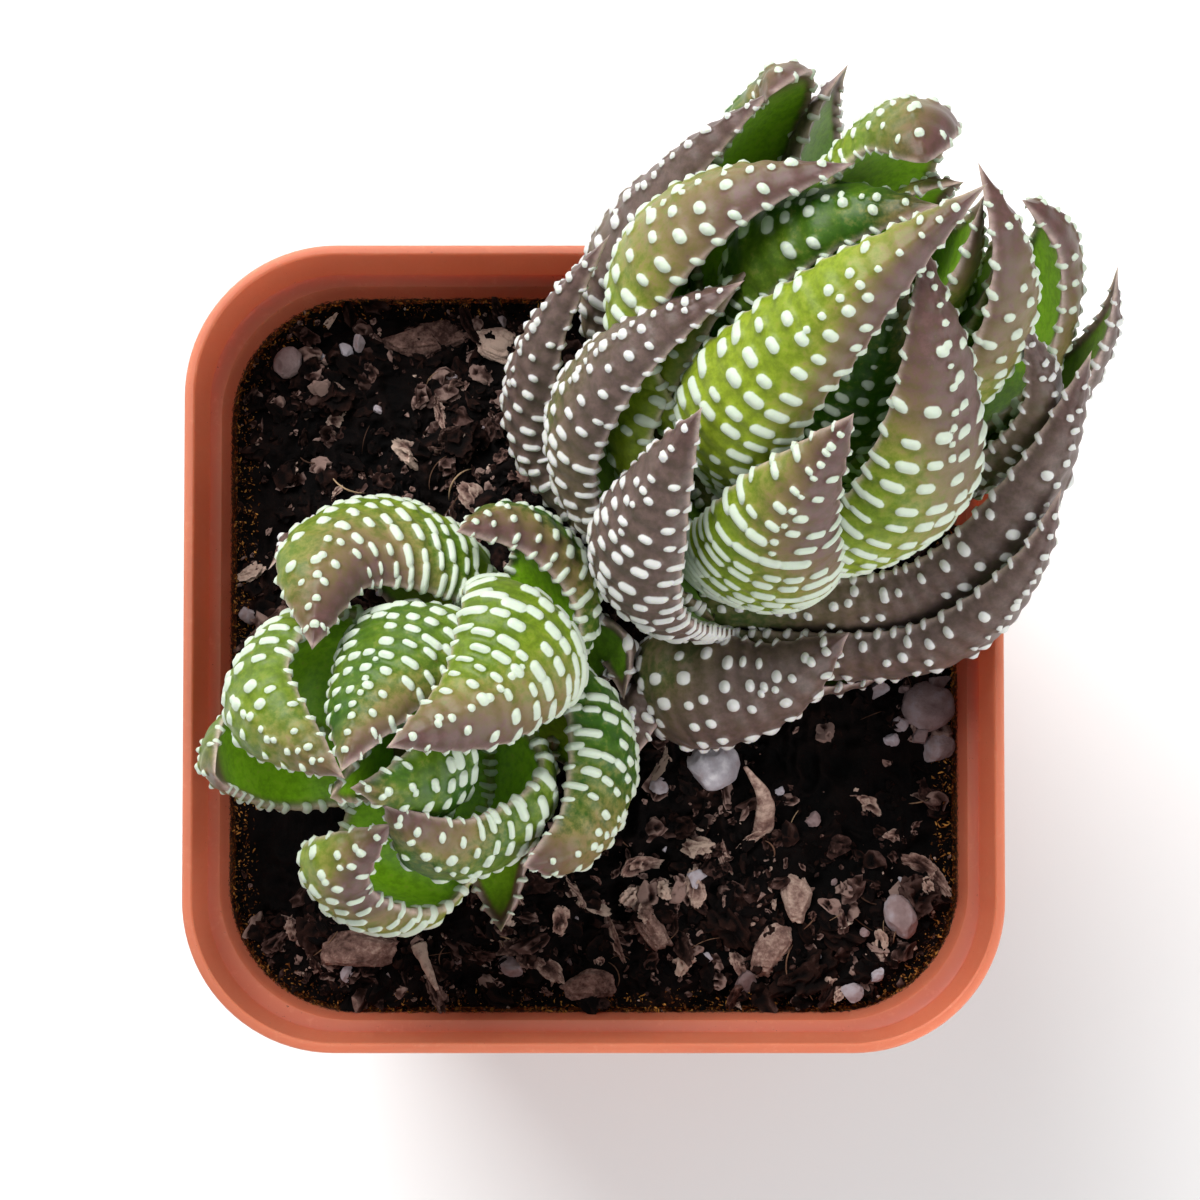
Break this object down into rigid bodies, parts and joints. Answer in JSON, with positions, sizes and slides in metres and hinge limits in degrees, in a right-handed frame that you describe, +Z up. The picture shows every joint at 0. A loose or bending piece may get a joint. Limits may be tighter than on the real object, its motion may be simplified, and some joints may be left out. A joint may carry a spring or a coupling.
{
  "type": "potted haworthia",
  "caption": "Haworthia with two leaning, closely packed stems of keeled, white-spotted leaves, growing in soil in a square pot of thin terracotta-coloured plastic.",
  "frame": {"origin": "middle of the pot's underside, on the surface it stands on", "axes": "+Z up out of the pot; +X to the right and +Y to the back of the pot, the plant's taller stem leaning to the back right"},
  "size_m": [0.0781, 0.081, 0.098],
  "materials": {
    "terracotta_plastic": "injection-moulded terracotta-coloured plastic, satin, slightly dusty",
    "potting_soil": "damp dark potting mix of bark and peat, rough",
    "leaf_green": "waxy succulent leaf, lime green with raised white spots and a brown tip",
    "leaf_brown": "waxy succulent leaf, purple-brown with raised white spots",
    "stem": "dull olive stem tissue",
    "perlite": "porous off-white mineral grain",
    "bark": "dry chopped bark and leaf litter"
  },
  "bodies": {
    "root": {"bark_chip_back": "bark", "bark_chip_front": "bark", "bark_chip_left": "bark", "bark_chip_middle": "bark", "bark_chip_near": "bark", "bark_chip_pale": "bark", "bark_chip_right": "bark", "bark_splinter": "bark", "dry_spike": "bark", "fallen_twig": "bark", "main_leaf_01": "leaf_green", "main_leaf_02": "leaf_green", "main_leaf_03": "leaf_green", "main_leaf_04": "leaf_green", "main_leaf_05": "leaf_green", "main_leaf_06": "leaf_green", "main_leaf_07": "leaf_green", "main_leaf_08": "leaf_green", "main_leaf_09": "leaf_brown", "main_leaf_10": "leaf_green", "main_leaf_11": "leaf_green", "main_leaf_12": "leaf_green", "main_leaf_13": "leaf_brown", "main_leaf_14": "leaf_green", "main_leaf_15": "leaf_brown", "main_leaf_16": "leaf_brown", "main_leaf_17": "leaf_brown", "main_leaf_18": "leaf_green", "main_leaf_19": "leaf_brown", "main_leaf_20": "leaf_brown", "main_leaf_21": "leaf_brown", "main_leaf_22": "leaf_brown", "main_leaf_23": "leaf_brown", "main_leaf_24": "leaf_brown", "main_leaf_25": "leaf_green", "main_leaf_26": "leaf_brown", "main_stem": "stem", "offset_leaf_01": "leaf_green", "offset_leaf_02": "leaf_green", "offset_leaf_03": "leaf_green", "offset_leaf_04": "leaf_green", "offset_leaf_05": "leaf_green", "offset_leaf_06": "leaf_green", "offset_leaf_07": "leaf_green", "offset_leaf_08": "leaf_green", "offset_leaf_09": "leaf_green", "offset_leaf_10": "leaf_green", "offset_leaf_11": "leaf_green", "offset_leaf_12": "leaf_brown", "offset_leaf_13": "leaf_green", "offset_leaf_14": "leaf_brown", "offset_stem": "stem", "perlite_big": "perlite", "perlite_corner": "perlite", "perlite_low": "perlite", "perlite_middle": "perlite", "perlite_right": "perlite", "pot": "terracotta_plastic", "soil": "potting_soil"}
  },
  "joints": []
}
